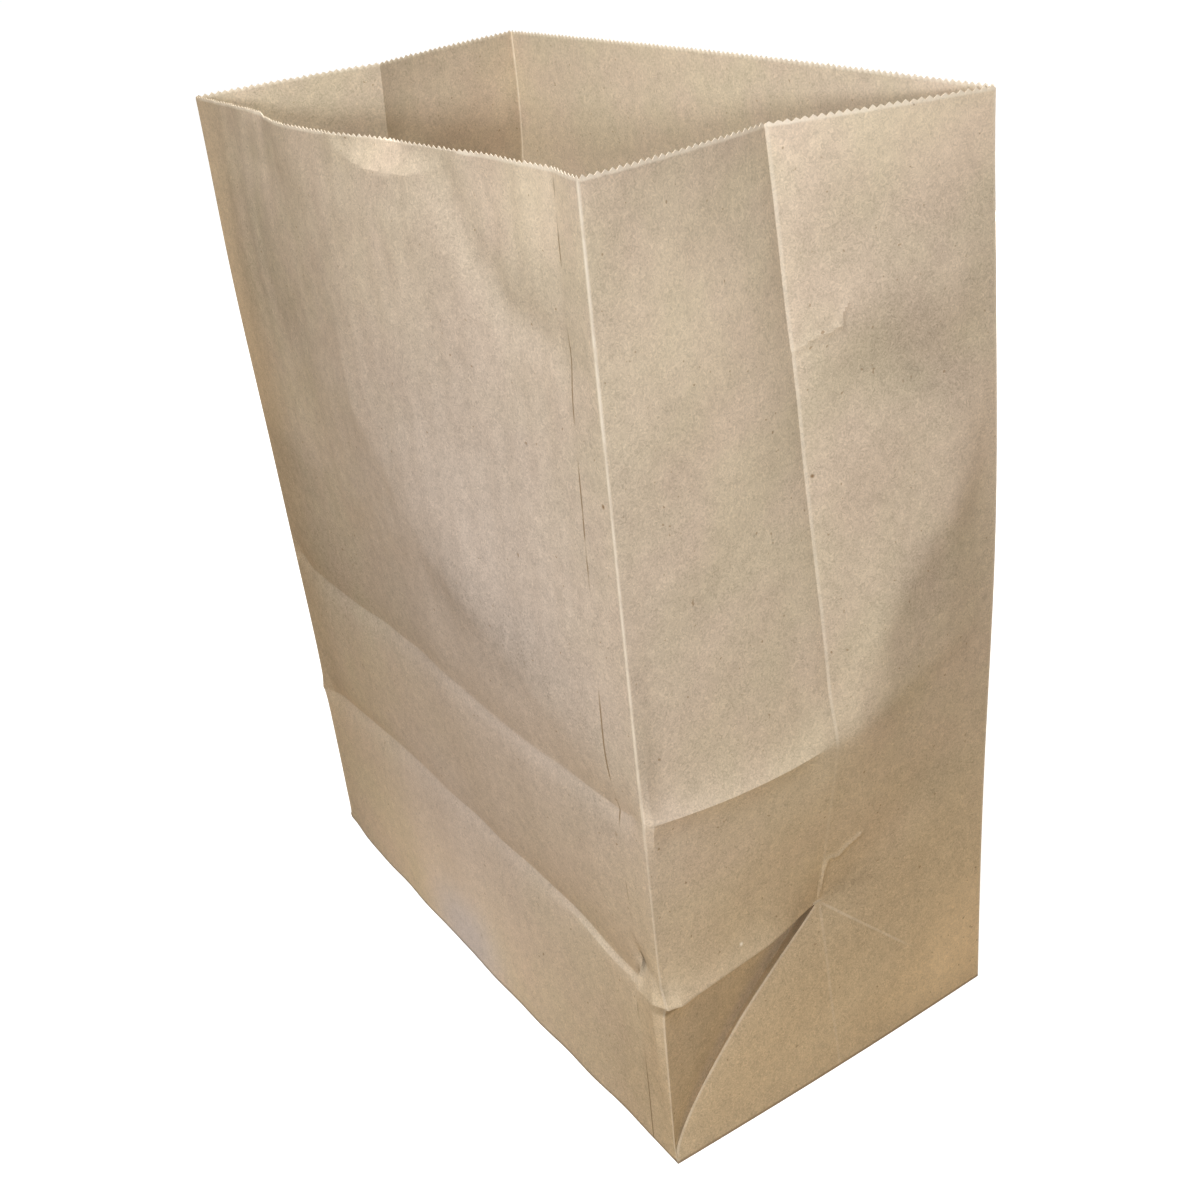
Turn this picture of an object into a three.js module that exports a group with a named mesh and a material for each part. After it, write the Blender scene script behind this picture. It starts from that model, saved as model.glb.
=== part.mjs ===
// Brown paper sack, standing open: one sheet of kraft paper, folded and glued into a flat-bottomed
// tube with a gusset in each side and a sawtooth-cut mouth.
// Units are millimetres and +Z is up. The origin is the middle of the base, on the ground.
// The front panel faces -Y, the back panel +Y, and the two gussets face -X and +X.
import * as THREE from 'three';

// Size of the sack, from fold to fold
const BAG_WIDTH = 332;
const BAG_DEPTH = 176;
const BAG_HEIGHT = 414;

// Sheet and glued layers
const PAPER_THICKNESS = 0.15;
const BASE_LAYERS = 3;
const LAP_WIDTH = 12;
const LAP_EDGE_RUN = 1;

// Sawtooth cut of the mouth
const TOOTH_PITCH = 3.2;
const TOOTH_HEIGHT = 1.2;
const COLLAR_HEIGHT = 8;

// Middle fold of each gusset: how far it stands in or out at three heights
const MOUTH_FOLD_IN = 18;
const KNEE_OUT = 6;
const JUNCTION_IN = 8;
const SOFT_FOLD_RUN = 20;

// Corner triangles at the foot of each gusset, tucked in between their folds: the depth, the run of
// the slope from the front corner, and the run of the steep sides under the two folds
const TUCK_IN = 5;
const TUCK_SLOPE_RUN = 40;
const TUCK_SIDE_RUN = 10;

// Front panel: two pressed-in cross creases
const CREASE_IN = 3;
const CREASE_SPREAD = 36;
const CREASE_RUN_OUT = 40;

// Wave of the front panel's mouth edge: a bulge placed from the -X corner, a dip placed from the +X
// corner, and how far down the panel they reach
const MOUTH_BULGE_OUT = 7.5;
const MOUTH_BULGE_PLACE = 125;
const MOUTH_BULGE_SPREAD = 70;
const MOUTH_DIP_IN = 6;
const MOUTH_DIP_PLACE = 60;
const MOUTH_DIP_SPREAD = 60;
const MOUTH_WAVE_REACH = 150;

// Fineness of the wall grid
const GUSSET_HALF_STEPS = 6;
const PANEL_STEPS = 12;
const UPPER_STEPS = 9;

// Paper
const KRAFT_COLOUR = 0xc2a880;
const KRAFT_ROUGHNESS = 0.85;

// The folded base sets the heights of the folds: half a base depth, and a whole one
const HALF_DEPTH = BAG_DEPTH / 2;
const JUNCTION_HEIGHT = HALF_DEPTH;
const KNEE_HEIGHT = BAG_DEPTH;
const ROOT_HEIGHT = BAG_HEIGHT - TOOTH_HEIGHT;
const COLLAR_FOOT = ROOT_HEIGHT - COLLAR_HEIGHT;

const { clamp, lerp, smoothstep } = THREE.MathUtils;

// Tent of height 1 at zero, falling to nothing at -1 and +1
function tent(t) {
  return Math.max(0, 1 - Math.abs(t));
}

// Rounded hump of height 1 at zero, falling smoothly to nothing at -1 and +1
function hump(t) {
  return smoothstep(tent(t), 0, 1);
}

// Outward stand of a gusset's middle fold: straight runs from the mouth to the knee, and on to the
// junction of the corner folds
function middleFold(height) {
  if (height >= KNEE_HEIGHT) {
    const share = (height - KNEE_HEIGHT) / (BAG_HEIGHT - KNEE_HEIGHT);
    return lerp(KNEE_OUT, -MOUTH_FOLD_IN, share);
  }
  return lerp(-JUNCTION_IN, KNEE_OUT, (height - JUNCTION_HEIGHT) / (KNEE_HEIGHT - JUNCTION_HEIGHT));
}

// The same line with a rounded knee, for the half of the gusset that was never creased across
function softMiddleFold(height) {
  const below = Math.max(height - SOFT_FOLD_RUN, JUNCTION_HEIGHT);
  const above = Math.min(height + SOFT_FOLD_RUN, BAG_HEIGHT);
  const stands = [below, height, above].map(middleFold);
  return stands.reduce((sum, stand) => sum + stand) / stands.length;
}

// Depth of a tucked triangle, by the distances to its corner edge, its level fold and its slanted fold
function tuckDepth(toCorner, toLevelFold, toSlantedFold) {
  const runs = [toCorner / TUCK_SLOPE_RUN, toLevelFold / TUCK_SIDE_RUN, toSlantedFold / TUCK_SIDE_RUN];
  return TUCK_IN * Math.min(1, ...runs);
}

// Outward stand of a gusset, by the distance from its front corner and the height
function gussetStand(fromFront, height) {
  const fromMiddle = fromFront - HALF_DEPTH;
  const towardsMiddle = tent(fromMiddle / HALF_DEPTH);
  if (height >= JUNCTION_HEIGHT) {
    const softness = clamp(fromMiddle / SOFT_FOLD_RUN, 0, 1);
    return towardsMiddle * lerp(middleFold(height), softMiddleFold(height), softness);
  }
  const rise = height / JUNCTION_HEIGHT;
  const stand = -JUNCTION_IN * Math.min(towardsMiddle, rise);
  const inTuck = fromMiddle < 0 && rise > towardsMiddle;
  if (!inTuck) {
    return stand;
  }
  return stand - tuckDepth(fromFront, JUNCTION_HEIGHT - height, (height - fromFront) / Math.SQRT2);
}

// Outward stand of the front panel, by the distance from its -X corner and the height
function frontStand(fromLeft, height) {
  const toCorner = Math.min(fromLeft, BAG_WIDTH - fromLeft);
  const lowerCrease = tent((height - JUNCTION_HEIGHT) / CREASE_SPREAD);
  const upperCrease = tent((height - KNEE_HEIGHT) / CREASE_SPREAD);
  const creaseIn = CREASE_IN * (lowerCrease + upperCrease) * smoothstep(toCorner, 0, CREASE_RUN_OUT);
  const bulge = MOUTH_BULGE_OUT * hump((fromLeft - MOUTH_BULGE_PLACE) / MOUTH_BULGE_SPREAD);
  const dip = MOUTH_DIP_IN * hump((BAG_WIDTH - fromLeft - MOUTH_DIP_PLACE) / MOUTH_DIP_SPREAD);
  const waveShare = smoothstep(height, BAG_HEIGHT - MOUTH_WAVE_REACH, BAG_HEIGHT);
  const wave = (bulge - dip) * waveShare * smoothstep(toCorner, 0, CREASE_RUN_OUT);
  const underLap = fromLeft > 0 ? PAPER_THICKNESS * (1 - lapShare(fromLeft)) : 0;
  return wave - creaseIn - underLap;
}

// How much of the glued second layer lies at this place on the front panel: all of it in the lap
// strip along the +X corner, none on the rest
function lapShare(fromLeft) {
  const toEdges = Math.min(fromLeft - (BAG_WIDTH - LAP_WIDTH), BAG_WIDTH - fromLeft);
  return clamp(toEdges / LAP_EDGE_RUN, 0, 1);
}

// Evenly spaced distances from nothing to the full length
function evenSteps(length, count) {
  return Array.from({ length: count + 1 }, (_, step) => (length * step) / count);
}

// The four panels in order round the sack, anticlockwise seen from above. Each starts at a corner,
// runs along its own direction and stands out along its own normal.
const lapStart = BAG_WIDTH - LAP_WIDTH;
const lapColumns = [lapStart + LAP_EDGE_RUN, BAG_WIDTH - LAP_EDGE_RUN, BAG_WIDTH];
const frontColumns = [...evenSteps(lapStart, PANEL_STEPS), ...lapColumns];
const gussetColumns = evenSteps(BAG_DEPTH, 2 * GUSSET_HALF_STEPS);
const panels = [
  {
    start: new THREE.Vector3(-BAG_WIDTH / 2, -HALF_DEPTH, 0),
    along: new THREE.Vector3(1, 0, 0),
    out: new THREE.Vector3(0, -1, 0),
    length: BAG_WIDTH,
    columns: frontColumns,
    stand: frontStand,
    layers: (distance) => 1 + lapShare(distance),
  },
  {
    start: new THREE.Vector3(BAG_WIDTH / 2, -HALF_DEPTH, 0),
    along: new THREE.Vector3(0, 1, 0),
    out: new THREE.Vector3(1, 0, 0),
    length: BAG_DEPTH,
    columns: gussetColumns,
    stand: gussetStand,
    layers: () => 1,
  },
  {
    start: new THREE.Vector3(BAG_WIDTH / 2, HALF_DEPTH, 0),
    along: new THREE.Vector3(-1, 0, 0),
    out: new THREE.Vector3(0, 1, 0),
    length: BAG_WIDTH,
    columns: evenSteps(BAG_WIDTH, PANEL_STEPS),
    stand: () => 0,
    layers: () => 1,
  },
  {
    start: new THREE.Vector3(-BAG_WIDTH / 2, HALF_DEPTH, 0),
    along: new THREE.Vector3(0, -1, 0),
    out: new THREE.Vector3(-1, 0, 0),
    length: BAG_DEPTH,
    columns: gussetColumns,
    stand: (distance, height) => gussetStand(BAG_DEPTH - distance, height),
    layers: () => 1,
  },
];

// Heights of the grid rows: the two folded bands share their step with the gusset columns, so that
// the corner folds run along cell diagonals
const lowerRows = evenSteps(KNEE_HEIGHT, 2 * GUSSET_HALF_STEPS);
const upperRows = evenSteps(COLLAR_FOOT - KNEE_HEIGHT, UPPER_STEPS).map((rise) => KNEE_HEIGHT + rise);
const rows = [...lowerRows, ...upperRows.slice(1)];

// The outer skin's points, with the number of paper layers at each, and its triangles
const points = [];
const layers = [];
const triangles = [];

function addPoint(panel, distance, height) {
  const point = panel.start.clone();
  point.addScaledVector(panel.along, distance);
  point.addScaledVector(panel.out, panel.stand(distance, height));
  point.z = height;
  points.push(point);
  layers.push(panel.layers(distance));
  return points.length - 1;
}

// One ring of points round the sack for a list of places on each panel. The last place on a panel
// is the next panel's first, so it isn't repeated.
function addRing(placesOnPanel) {
  const runs = panels.map((panel) => {
    const places = placesOnPanel(panel);
    return places.slice(0, -1).map(({ distance, height }) => ({
      distance,
      index: addPoint(panel, distance, height),
    }));
  });
  return runs.map((run, panelIndex) => {
    const nextRun = runs[(panelIndex + 1) % runs.length];
    return [...run, { distance: panels[panelIndex].length, index: nextRun[0].index }];
  });
}

// Wall grid. The cells past a panel's middle are split the other way, as the gusset's corner folds are.
const wallRings = rows.map((height) => {
  return addRing((panel) => panel.columns.map((distance) => ({ distance, height })));
});

for (let row = 0; row + 1 < wallRings.length; row += 1) {
  panels.forEach((panel, panelIndex) => {
    const lower = wallRings[row][panelIndex];
    const upper = wallRings[row + 1][panelIndex];
    const columns = lower.length - 1;
    for (let column = 0; column < columns; column += 1) {
      const [a, b] = [lower[column].index, lower[column + 1].index];
      const [d, c] = [upper[column].index, upper[column + 1].index];
      if (column < columns / 2) {
        triangles.push([a, b, c], [a, c, d]);
      } else {
        triangles.push([a, b, d], [b, c, d]);
      }
    }
  });
}

// Sawtooth rim: a root at each corner and middle fold, and a tip half a pitch on
function toothPlaces(panel) {
  const teeth = 2 * Math.round(panel.length / TOOTH_PITCH / 2);
  return evenSteps(panel.length, 2 * teeth).map((distance, step) => ({
    distance,
    height: step % 2 === 0 ? ROOT_HEIGHT : BAG_HEIGHT,
  }));
}

const rimRing = addRing(toothPlaces);
const collarRing = wallRings[wallRings.length - 1];

// The collar joins the wide-spaced top row to the fine rim, by stepping along whichever is behind
panels.forEach((panel, panelIndex) => {
  const lower = collarRing[panelIndex];
  const upper = rimRing[panelIndex];
  let low = 0;
  let high = 0;
  while (low + 1 < lower.length || high + 1 < upper.length) {
    const lowerLeads = high + 1 === upper.length
      || (low + 1 < lower.length && lower[low + 1].distance <= upper[high + 1].distance);
    if (lowerLeads) {
      triangles.push([lower[low].index, lower[low + 1].index, upper[high].index]);
      low += 1;
    } else {
      triangles.push([lower[low].index, upper[high + 1].index, upper[high].index]);
      high += 1;
    }
  }
});

// A ring as one closed loop of point numbers
function loopOf(ring) {
  return ring.flatMap((run) => run.slice(0, -1).map(({ index }) => index));
}

// Direction and reach from each outer point to the inner skin, so that every wall meeting there
// keeps its thickness
function inwardSteps() {
  const sums = points.map(() => new THREE.Vector3());
  const meetings = points.map(() => []);
  triangles.forEach((corners) => {
    const [a, b, c] = corners.map((index) => points[index]);
    const normal = new THREE.Triangle(a, b, c).getNormal(new THREE.Vector3());
    corners.forEach((index, turn) => {
      const at = points[index];
      const toNext = points[corners[(turn + 1) % 3]].clone().sub(at);
      const toLast = points[corners[(turn + 2) % 3]].clone().sub(at);
      const angle = toNext.angleTo(toLast);
      sums[index].addScaledVector(normal, angle);
      meetings[index].push({ normal, angle });
    });
  });
  return sums.map((sum, index) => {
    const direction = sum.normalize();
    let angles = 0;
    let facing = 0;
    meetings[index].forEach(({ normal, angle }) => {
      angles += angle;
      facing += angle * normal.dot(direction);
    });
    return direction.multiplyScalar((-layers[index] * PAPER_THICKNESS * angles) / facing);
  });
}

// Inner skin, facing inwards, with the inside of the base raised by its glued layers
const outerCount = points.length;
const wallTriangles = triangles.slice();
const baseLoop = loopOf(wallRings[0]);
const rimLoop = loopOf(rimRing);
const steps = inwardSteps();
steps.forEach((step, index) => points.push(points[index].clone().add(step)));
baseLoop.forEach((index) => {
  points[index + outerCount].z = BASE_LAYERS * PAPER_THICKNESS;
});
wallTriangles.forEach(([a, b, c]) => triangles.push([a + outerCount, c + outerCount, b + outerCount]));

// Cut edge of the paper round the mouth
rimLoop.forEach((index, place) => {
  const next = rimLoop[(place + 1) % rimLoop.length];
  triangles.push([index, next, next + outerCount], [index, next + outerCount, index + outerCount]);
});

// Base: the underside on the ground, and the inside floor above it
function addFloor(loop, facesUp) {
  const outline = loop.map((index) => new THREE.Vector2(points[index].x, points[index].y));
  THREE.ShapeUtils.triangulateShape(outline, []).forEach(([a, b, c]) => {
    triangles.push(facesUp ? [loop[a], loop[b], loop[c]] : [loop[a], loop[c], loop[b]]);
  });
}

addFloor(baseLoop, false);
addFloor(baseLoop.map((index) => index + outerCount), true);

const geometry = new THREE.BufferGeometry();
geometry.setAttribute('position', new THREE.Float32BufferAttribute(points.flatMap((p) => p.toArray()), 3));
geometry.setIndex(triangles.flat());
geometry.computeVertexNormals();

const kraftPaper = new THREE.MeshStandardMaterial({
  color: KRAFT_COLOUR,
  roughness: KRAFT_ROUGHNESS,
  metalness: 0,
});

const paperBag = new THREE.Mesh(geometry, kraftPaper);
paperBag.name = 'paper_bag';

const sack = new THREE.Group();
sack.add(paperBag);

export default sack;
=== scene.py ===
# %% [markdown]
# # A brown paper sack, standing open
#
# The real thing is one sheet of kraft paper. A machine folds it into a tube with a gusset in each side,
# glues the tube along a lap seam, folds one end into a flat base and cuts the mouth with a toothed blade.
# In this lesson we start from a box, cut it into a fine grid along the paper's own fold lines, and then
# press the folds, the slack and the small damage of a used sack into that grid.

# %% Frame
import math

import bmesh
import bpy
import numpy as np
from mathutils import Matrix, Vector


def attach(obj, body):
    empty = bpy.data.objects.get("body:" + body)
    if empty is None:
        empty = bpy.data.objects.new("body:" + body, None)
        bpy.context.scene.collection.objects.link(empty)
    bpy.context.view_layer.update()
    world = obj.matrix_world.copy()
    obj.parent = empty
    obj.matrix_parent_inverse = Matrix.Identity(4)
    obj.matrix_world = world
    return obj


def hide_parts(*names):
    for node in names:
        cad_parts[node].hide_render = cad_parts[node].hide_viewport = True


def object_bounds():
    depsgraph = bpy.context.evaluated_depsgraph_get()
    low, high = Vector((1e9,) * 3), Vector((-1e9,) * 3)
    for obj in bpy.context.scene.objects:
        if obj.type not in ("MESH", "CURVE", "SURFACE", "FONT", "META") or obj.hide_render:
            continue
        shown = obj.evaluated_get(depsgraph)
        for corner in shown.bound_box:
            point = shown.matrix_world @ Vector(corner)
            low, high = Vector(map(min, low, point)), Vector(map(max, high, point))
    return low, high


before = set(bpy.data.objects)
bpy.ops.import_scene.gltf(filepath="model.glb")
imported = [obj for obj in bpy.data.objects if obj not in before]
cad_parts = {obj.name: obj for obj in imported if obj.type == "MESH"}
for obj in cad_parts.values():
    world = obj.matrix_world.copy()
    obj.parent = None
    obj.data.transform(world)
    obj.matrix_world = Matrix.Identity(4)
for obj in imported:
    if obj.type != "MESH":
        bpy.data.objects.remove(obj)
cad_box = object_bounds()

MM = 0.001
print("CAD box in mm:", [[round(v / MM, 1) for v in corner] for corner in cad_box])

# %% [markdown]
# ## The sheet's sizes
#
# A flat-bottomed sack is folded from a few sizes only. Its base is folded over by half the depth, so
# cross creases stay in the paper at half a depth and at a whole depth above the ground. The teeth of the
# blade set the spacing of the grid: one column of faces for each tooth. Points that are nearer to a line
# than the tolerance count as lying on it, and the tiny value keeps divisions away from zero.

# %% Sizes of the sack, in millimetres
BAG_WIDTH = 332.0
BAG_DEPTH = 176.0
BAG_HEIGHT = (cad_box[1][2] - cad_box[0][2]) / MM
HALF_WIDTH = BAG_WIDTH / 2
HALF_DEPTH = BAG_DEPTH / 2
LOW_FOLD = HALF_DEPTH
HIGH_FOLD = BAG_DEPTH
PAPER_THICKNESS = 0.2
LAP_WIDTH = 19.0
LAP_EDGE = BAG_WIDTH - LAP_WIDTH
TOOTH_PITCH = 3.2
TOOTH_HEIGHT = 1.1
ROW_HEIGHT = 4.0
TOLERANCE = 0.001
TINY = 1e-6

print("Perimeter of the tube:", 2 * (BAG_WIDTH + BAG_DEPTH), "mm")

# %% [markdown]
# ## A box with no lid
#
# The sack begins as a cube scaled to its size, because all its corner folds are a box's edges. The top
# face is deleted to open the mouth. Everything is deselected first, since operators act on all that is
# selected.

# %% Open box
bpy.ops.object.select_all(action="DESELECT")
bpy.ops.mesh.primitive_cube_add(
    size=1,
    location=(0, 0, BAG_HEIGHT / 2 * MM),
    scale=(BAG_WIDTH * MM, BAG_DEPTH * MM, BAG_HEIGHT * MM),
)
sack = bpy.context.object
sack.name = "kraft_sack"
bpy.ops.object.transform_apply(location=True, rotation=True, scale=True)


def pick(kind, test):
    """In edit mode, selects the faces, edges or verts that pass the test, and nothing else."""
    mesh = bmesh.from_edit_mesh(sack.data)
    bpy.ops.mesh.select_mode(type={"faces": "FACE", "edges": "EDGE", "verts": "VERT"}[kind])
    bpy.ops.mesh.select_all(action="DESELECT")
    chosen = [part for part in getattr(mesh, kind) if test(part)]
    for part in chosen:
        part.select_set(True)
    bmesh.update_edit_mesh(sack.data)
    return len(chosen)


bpy.ops.object.mode_set(mode="EDIT")
pick("faces", lambda face: face.normal.z > 0.5)
bpy.ops.mesh.delete(type="FACE")
bpy.ops.object.mode_set(mode="OBJECT")
print("Open box:", len(sack.data.polygons), "faces")

# %% [markdown]
# ## Grid along the folds
#
# Bisect cuts the walls level at the two cross folds. Then the edges that run along X, Y and Z are
# subdivided in turn, which gives strips and then a grid. In the two folded bands the rows are as high as
# the columns are wide, so that the slanted folds of the base run exactly along the cells' diagonals.

# %% Columns and rows
front_teeth = 4 * round(BAG_WIDTH / TOOTH_PITCH / 4)
side_teeth = 4 * round(BAG_DEPTH / TOOTH_PITCH / 4)
upper_rows = round((BAG_HEIGHT - HIGH_FOLD) / ROW_HEIGHT)


def runs_along(axis, low=-math.inf, high=math.inf):
    """A test for edges that run along an axis, with their middle between two heights in mm."""

    def test(edge):
        a, b = (vert.co for vert in edge.verts)
        height = (a.z + b.z) / 2 / MM
        return abs(b[axis] - a[axis]) > 0.9 * (b - a).length and low < height < high

    return test


def cut_level(height):
    """Adds one row line right round the walls at a height in mm."""
    bpy.ops.mesh.select_all(action="SELECT")
    bpy.ops.mesh.bisect(plane_co=(0, 0, height * MM), plane_no=(0, 0, 1))


bpy.ops.object.mode_set(mode="EDIT")
bpy.ops.mesh.select_mode(type="EDGE")
cut_level(LOW_FOLD)
cut_level(HIGH_FOLD)
for axis, columns in ((0, front_teeth), (1, side_teeth)):
    pick("edges", runs_along(axis))
    bpy.ops.mesh.subdivide(number_cuts=1)
    pick("edges", runs_along(axis))
    bpy.ops.mesh.subdivide(number_cuts=columns // 2 - 1)
for low, high, rows in (
    (0, LOW_FOLD, side_teeth // 2),
    (LOW_FOLD, HIGH_FOLD, side_teeth // 2),
    (HIGH_FOLD, BAG_HEIGHT, upper_rows),
):
    pick("edges", runs_along(2, low, high))
    bpy.ops.mesh.subdivide(number_cuts=rows - 1)
bpy.ops.object.mode_set(mode="OBJECT")
print("Grid:", front_teeth, "and", side_teeth, "columns,", len(sack.data.polygons), "faces")

# %% [markdown]
# ## Lines for the sharp folds
#
# A fold is only as crisp as the rows beside it. Extra level cuts go just above and below each cross
# fold. Slanted cuts go along the two corner folds at the foot of each gusset, where a triangle of paper
# is tucked in behind its neighbour, and one more cut beside the front one gives the tuck a steep side.

# %% Extra cuts
FOLD_ROUND = 1.1
TUCK_SIDE = 1.6

bpy.ops.object.mode_set(mode="EDIT")
for height in (LOW_FOLD, HIGH_FOLD):
    cut_level(height - FOLD_ROUND)
    cut_level(height + FOLD_ROUND)


def on_gusset_foot(side):
    """A test for faces of both gussets, under the low fold, on the front side (-1) or the back side (1)."""

    def test(face):
        middle = face.calc_center_median()
        level = abs(face.normal.x) > 0.5 and middle.z < LOW_FOLD * MM
        return level and middle.y * side > 0

    return test


for side, beside in ((-1, 0), (-1, TUCK_SIDE), (1, 0)):
    pick("faces", on_gusset_foot(side))
    bpy.ops.mesh.bisect(
        plane_co=(0, (HALF_DEPTH + beside) * side * MM, 0),
        plane_no=(0, side, 1),
    )
pick("edges", lambda edge: all(
    abs(vert.co.y) < TOLERANCE * MM and abs(vert.co.x) > 0.4 * BAG_WIDTH * MM
    and vert.co.z > (HIGH_FOLD - FOLD_ROUND / 2) * MM
    for vert in edge.verts
))
bpy.ops.mesh.mark_sharp()
bpy.ops.object.mode_set(mode="OBJECT")
print("With fold lines:", len(sack.data.polygons), "faces")

# %% [markdown]
# ## Finer patches
#
# Four places have shapes smaller than the grid: the junction of the folds on the near gusset, a short
# wrinkle higher up on it, the pinched front corner at the low fold, and a dent in the front's rim. Only
# these are subdivided again, since a finer grid everywhere would only make the mesh heavy.

# %% Finer patches
FINE_PATCHES = (
    ((HALF_WIDTH, HALF_WIDTH), (-10, 24), (LOW_FOLD + 2, 124)),
    ((HALF_WIDTH, HALF_WIDTH), (0, 30), (326, 354)),
    ((HALF_WIDTH - 30, HALF_WIDTH), (-HALF_DEPTH, -HALF_DEPTH), (50, 108)),
    ((-6, 82), (-HALF_DEPTH, -HALF_DEPTH), (398, BAG_HEIGHT)),
)

bpy.ops.object.mode_set(mode="EDIT")
for patch in FINE_PATCHES:

    def in_patch(face):
        middle = face.calc_center_median() / MM
        return all(low - 0.1 < value < high + 0.1 for value, (low, high) in zip(middle, patch))

    found = pick("faces", in_patch)
    bpy.ops.mesh.subdivide(number_cuts=2)
    print("Finer patch of", found, "faces")
bpy.ops.object.mode_set(mode="OBJECT")

# %% [markdown]
# ## Toothed mouth
#
# The blade leaves a zigzag. Each edge of the mouth is one tooth wide, so one cut in each edge gives the
# tooth its tip. The tips stay at the full height and the roots are moved down, with a little unevenness,
# because torn paper never leaves two teeth alike.

# %% Teeth
SEED = 7
TOOTH_UNEVEN = 0.3

bpy.ops.object.mode_set(mode="EDIT")
pick("edges", lambda edge: edge.is_boundary)
bpy.ops.mesh.subdivide(number_cuts=1)
bpy.ops.object.mode_set(mode="OBJECT")


def read_points(mesh):
    """The mesh's vertices in mm, one row for each."""
    flat = np.empty(len(mesh.vertices) * 3)
    mesh.vertices.foreach_get("co", flat)
    return flat.reshape(-1, 3) / MM


def write_points(mesh, points):
    """Moves the mesh's vertices to points in mm."""
    mesh.vertices.foreach_set("co", (points * MM).ravel())
    mesh.update()


flat_points = read_points(sack.data)
across_front = np.abs(np.abs(flat_points[:, 1]) - HALF_DEPTH) < TOLERANCE
along = np.where(across_front, flat_points[:, 0] + HALF_WIDTH, flat_points[:, 1] + HALF_DEPTH)
pitch = np.where(across_front, BAG_WIDTH / front_teeth, BAG_DEPTH / side_teeth)
in_tooth = np.abs(along / pitch - np.round(along / pitch)) * 2
at_mouth = flat_points[:, 2] > BAG_HEIGHT - TOLERANCE
tooth_drop = TOOTH_HEIGHT * (1 - in_tooth) * at_mouth
chance = np.random.default_rng(SEED)
tooth_drop += at_mouth * chance.uniform(0, TOOTH_UNEVEN, len(flat_points))
print("Mouth:", int(at_mouth.sum()), "points, for", 2 * (front_teeth + side_teeth), "teeth")

# %% [markdown]
# ## A map of the flat sheet
#
# The worn fold lines and the lap seam belong to the paper, not to space, so the material has to know
# where a point was on the flat sheet. A UV map stores that: u is the distance round the tube from the
# front left corner, and v the height, both in metres. The base gets a place of its own below the walls.

# %% Sheet map
sheet_u = {
    "front": (0, 1, 0),
    "right": (BAG_WIDTH, 1, 1),
    "back": (BAG_WIDTH + BAG_DEPTH, -1, 0),
    "left": (2 * BAG_WIDTH + BAG_DEPTH, -1, 1),
}
mesh = sack.data
while mesh.uv_layers:
    mesh.uv_layers.remove(mesh.uv_layers[0])
sheet_map = mesh.uv_layers.new(name="sheet")
normals = np.empty(len(mesh.polygons) * 3)
mesh.polygons.foreach_get("normal", normals)
normals = normals.reshape(-1, 3)
sizes = np.empty(len(mesh.polygons), dtype=int)
mesh.polygons.foreach_get("loop_total", sizes)
corner_points = np.empty(len(mesh.loops), dtype=int)
mesh.loops.foreach_get("vertex_index", corner_points)
corner_normals = np.repeat(normals, sizes, axis=0)
corners = flat_points[corner_points]
half = np.array([HALF_WIDTH, HALF_DEPTH])
sheet = np.column_stack([corners[:, 0] + HALF_WIDTH, corners[:, 1] - 2 * BAG_DEPTH])
for name, (axis, sign) in {"front": (1, -1), "right": (0, 1), "back": (1, 1), "left": (0, -1)}.items():
    start, direction, runs = sheet_u[name]
    here = corner_normals[:, axis] * sign > 0.5
    place = direction * corners[here, runs] + half[runs]
    sheet[here] = np.column_stack([start + place, corners[here, 2]])
sheet_map.data.foreach_set("uv", (sheet * MM).ravel())
print("Sheet map: u to", round(sheet[:, 0].max(), 1), "mm, v to", round(sheet[:, 1].max(), 1), "mm")

# %% [markdown]
# ## Shapes that a fold takes
#
# Folding by hand would mean moving thousands of points, so the folds are written as functions of the
# place on a panel. A few small shapes are enough for all of them: a straight-sided tent, a soft step, a
# lopsided hump, and the hollow of a crease with a different reach on each side. A name with four numbers
# below is such a hump: its height, its place, and its width before and after that place, in mm.


# %% Helper shapes
def tent(t):
    """1 at zero, straight down to 0 at -1 and 1."""
    return np.maximum(0, 1 - np.abs(t))


def ease(t):
    """A soft step from 0 at zero to 1 at one."""
    t = np.clip(t, 0, 1)
    return t * t * (3 - 2 * t)


def hump(t, before, after):
    """A rounded hump of height 1 at zero, with its own width before and after it."""
    return np.exp(-np.square(t / np.where(t < 0, before, after)))


def swell(place, shape):
    """A hump given as its height, its place, and its width before and after that place."""
    amount, middle, before, after = shape
    return amount * hump(place - middle, before, after)


def crease(t, below, above, rounding=1.0):
    """1 on a fold line at zero, fading below and above it over two reaches, with a rounded tip."""
    reach = np.where(t < 0, below, above)
    return np.exp(-(np.hypot(t, rounding) - rounding) / reach)


def wrinkle(a, b, route, width):
    """A thin ridge of height 1 along a route of points over a panel."""
    nearest = np.full_like(a, np.inf)
    for (a0, b0), (a1, b1) in zip(route, route[1:]):
        along = ((a - a0) * (a1 - a0) + (b - b0) * (b1 - b0)) / ((a1 - a0) ** 2 + (b1 - b0) ** 2)
        along = np.clip(along, 0, 1)
        nearest = np.minimum(nearest, np.hypot(a - a0 - along * (a1 - a0), b - b0 - along * (b1 - b0)))
    return np.exp(-np.square(nearest / width))


def slack(a, b, seed):
    """Soft unevenness between about -1 and 1 over a panel, from a few crossing waves."""
    waves = np.random.default_rng(seed)
    total = np.zeros_like(a)
    for length in (150, 95, 70, 52, 41):
        angle = waves.uniform(0, math.pi)
        phase = waves.uniform(0, 2 * math.pi)
        total += np.sin(2 * math.pi * (a * math.cos(angle) + b * math.sin(angle)) / length + phase)
    return total / 3


steps = np.array([-5.0, 0.0, 5.0])
print("A crease 5 mm below, on and 5 mm above its line:", crease(steps, 6.5, 14).round(2))

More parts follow.
